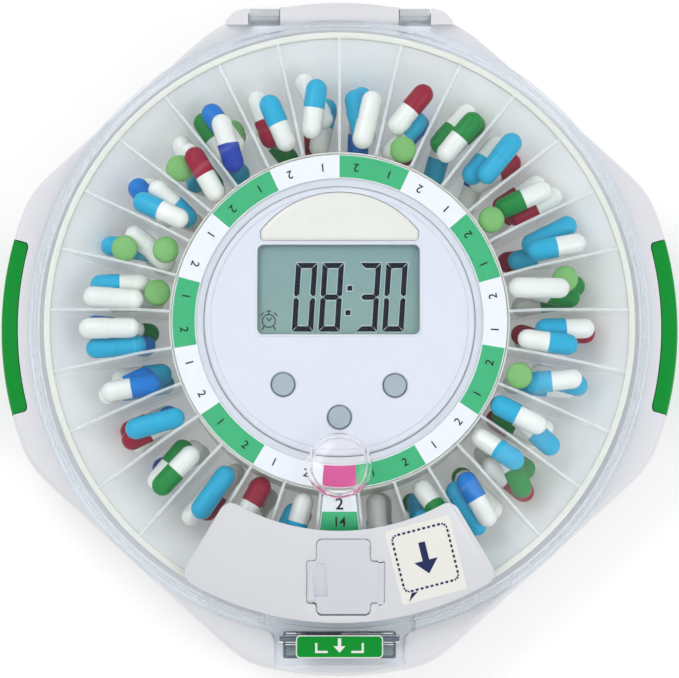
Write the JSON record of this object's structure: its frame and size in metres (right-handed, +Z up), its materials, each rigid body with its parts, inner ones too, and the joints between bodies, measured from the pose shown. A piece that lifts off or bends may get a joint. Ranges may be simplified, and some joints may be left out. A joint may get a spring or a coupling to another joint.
{
  "type": "automatic pill dispenser",
  "caption": "Round automatic pill dispenser with a motor-turned compartment tray, control turret and clear hinged lid with a dispensing flap and press latch.",
  "frame": {"origin": "centre of the overall box, on the plane that the feet stand on", "axes": "+Z up, +Y towards the lid's hinge, -Y towards the latch, +X to the right"},
  "size_m": [0.22, 0.2196, 0.0613],
  "materials": {
    "white_shell": "satin moulded",
    "tray_cream": "satin moulded",
    "clear": "clear polished",
    "grip_green": "soft matte",
    "label_green": "printed film",
    "ring_print": "printed film",
    "ivory": "satin",
    "display_grey": "display",
    "button_grey": "soft",
    "board_green": "solder resist",
    "gear_white": "moulded",
    "steel": "plain",
    "spring_steel": "dark",
    "cell_jacket": "printed jacket",
    "rubber_dark": "matte",
    "lamp_red": "lens"
  },
  "bodies": {
    "base": {"bottom_cover": "white_shell", "well_housing": "white_shell", "control_panel": "white_shell", "display_window": "clear", "display_module": "display_grey", "lamp_window": "ivory", "button_pad": "rubber_dark", "control_board": "board_green", "alarm_lamp": "lamp_red", "sounder": "rubber_dark", "gear_chassis": "gear_white", "drive_axle": "steel", "reduction_axle": "steel", "motor": "steel", "battery_cell_1": "cell_jacket", "battery_cell_2": "cell_jacket", "battery_cell_3": "cell_jacket", "battery_cell_4": "cell_jacket", "contact_first": "steel", "contact_middle": "steel", "contact_last": "steel", "contact_joining_left": "steel", "contact_joining_right": "steel", "grip_left": "grip_green", "grip_right": "grip_green", "foot_1": "rubber_dark", "foot_2": "rubber_dark", "foot_3": "rubber_dark", "foot_4": "rubber_dark", "case_screw_1": "steel", "case_screw_2": "steel", "case_screw_3": "steel", "case_screw_4": "steel", "hinge_pin_left": "steel", "hinge_pin_right": "steel"},
    "tray": {"tray": "tray_cream", "ring_gear": "gear_white", "dosage_ring": "ring_print", "home_cover": "ring_print"},
    "lid": {"lid_shell": "clear", "gate_plate": "white_shell", "magnifier_lens": "clear", "latch_pin": "steel", "latch_spring": "spring_steel", "flap_pin": "steel"},
    "latch": {"latch_button": "clear", "latch_label": "label_green"},
    "flap": {"dispensing_flap": "white_shell"},
    "left_button": {"button_left": "button_grey"},
    "right_button": {"button_right": "button_grey"},
    "centre_button": {"button_centre": "button_grey"},
    "drive_wheel": {"drive_gear": "gear_white"},
    "reduction_wheel": {"reduction_gear": "gear_white"},
    "pinion": {"motor_pinion": "steel"},
    "battery_hatch": {"battery_door": "white_shell"}
  },
  "joints": [
    {"name": "tray_spin", "type": "hinge", "parent": "base", "child": "tray", "pos_m": [0, 0.00275, 0.03], "axis": [0, 0, 1], "continuous": true},
    {"name": "lid_hinge", "type": "hinge", "parent": "base", "child": "lid", "pos_m": [0, 0.10395, 0.034], "axis": [-1, 0, 0], "range_deg": [0, 100]},
    {"name": "latch_press", "type": "hinge", "parent": "lid", "child": "latch", "pos_m": [0, -0.09825, 0.0362], "axis": [1, 0, 0], "range_deg": [0, 10], "stiffness_Nm_per_rad": 0.03, "springref_deg": -5.73},
    {"name": "flap_hinge", "type": "hinge", "parent": "lid", "child": "flap", "pos_m": [0.013, -0.07405, 0.0532], "axis": [0, 0.8904, 0.4552], "range_deg": [0, 110]},
    {"name": "press_left", "type": "slide", "parent": "base", "child": "left_button", "axis": [0, 0, -1], "range_m": [0, 0.0008], "stiffness_N_per_m": 400, "springref_m": -0.0005},
    {"name": "press_right", "type": "slide", "parent": "base", "child": "right_button", "axis": [0, 0, -1], "range_m": [0, 0.0008], "stiffness_N_per_m": 400, "springref_m": -0.0005},
    {"name": "press_centre", "type": "slide", "parent": "base", "child": "centre_button", "axis": [0, 0, -1], "range_m": [0, 0.0008], "stiffness_N_per_m": 400, "springref_m": -0.0005},
    {"name": "drive_spin", "type": "hinge", "parent": "base", "child": "drive_wheel", "pos_m": [0, 0.04082, 0.0232], "axis": [0, 0, 1], "continuous": true},
    {"name": "reduction_spin", "type": "hinge", "parent": "base", "child": "reduction_wheel", "pos_m": [0, 0.0276, 0.0232], "axis": [0, 0, 1], "continuous": true},
    {"name": "pinion_spin", "type": "hinge", "parent": "base", "child": "pinion", "pos_m": [-0.012, 0.0186, 0.0232], "axis": [0, 0, 1], "continuous": true},
    {"name": "battery_door_hinge", "type": "hinge", "parent": "base", "child": "battery_hatch", "pos_m": [0, -0.02475, 0.002], "axis": [-1, 0, 0], "range_deg": [0, 100]}
  ],
  "couplings": [
    {"joint": "drive_spin", "follows": "tray_spin", "ratio": 5.8},
    {"joint": "reduction_spin", "follows": "tray_spin", "ratio": -8.7},
    {"joint": "pinion_spin", "follows": "tray_spin", "ratio": 34.8}
  ]
}
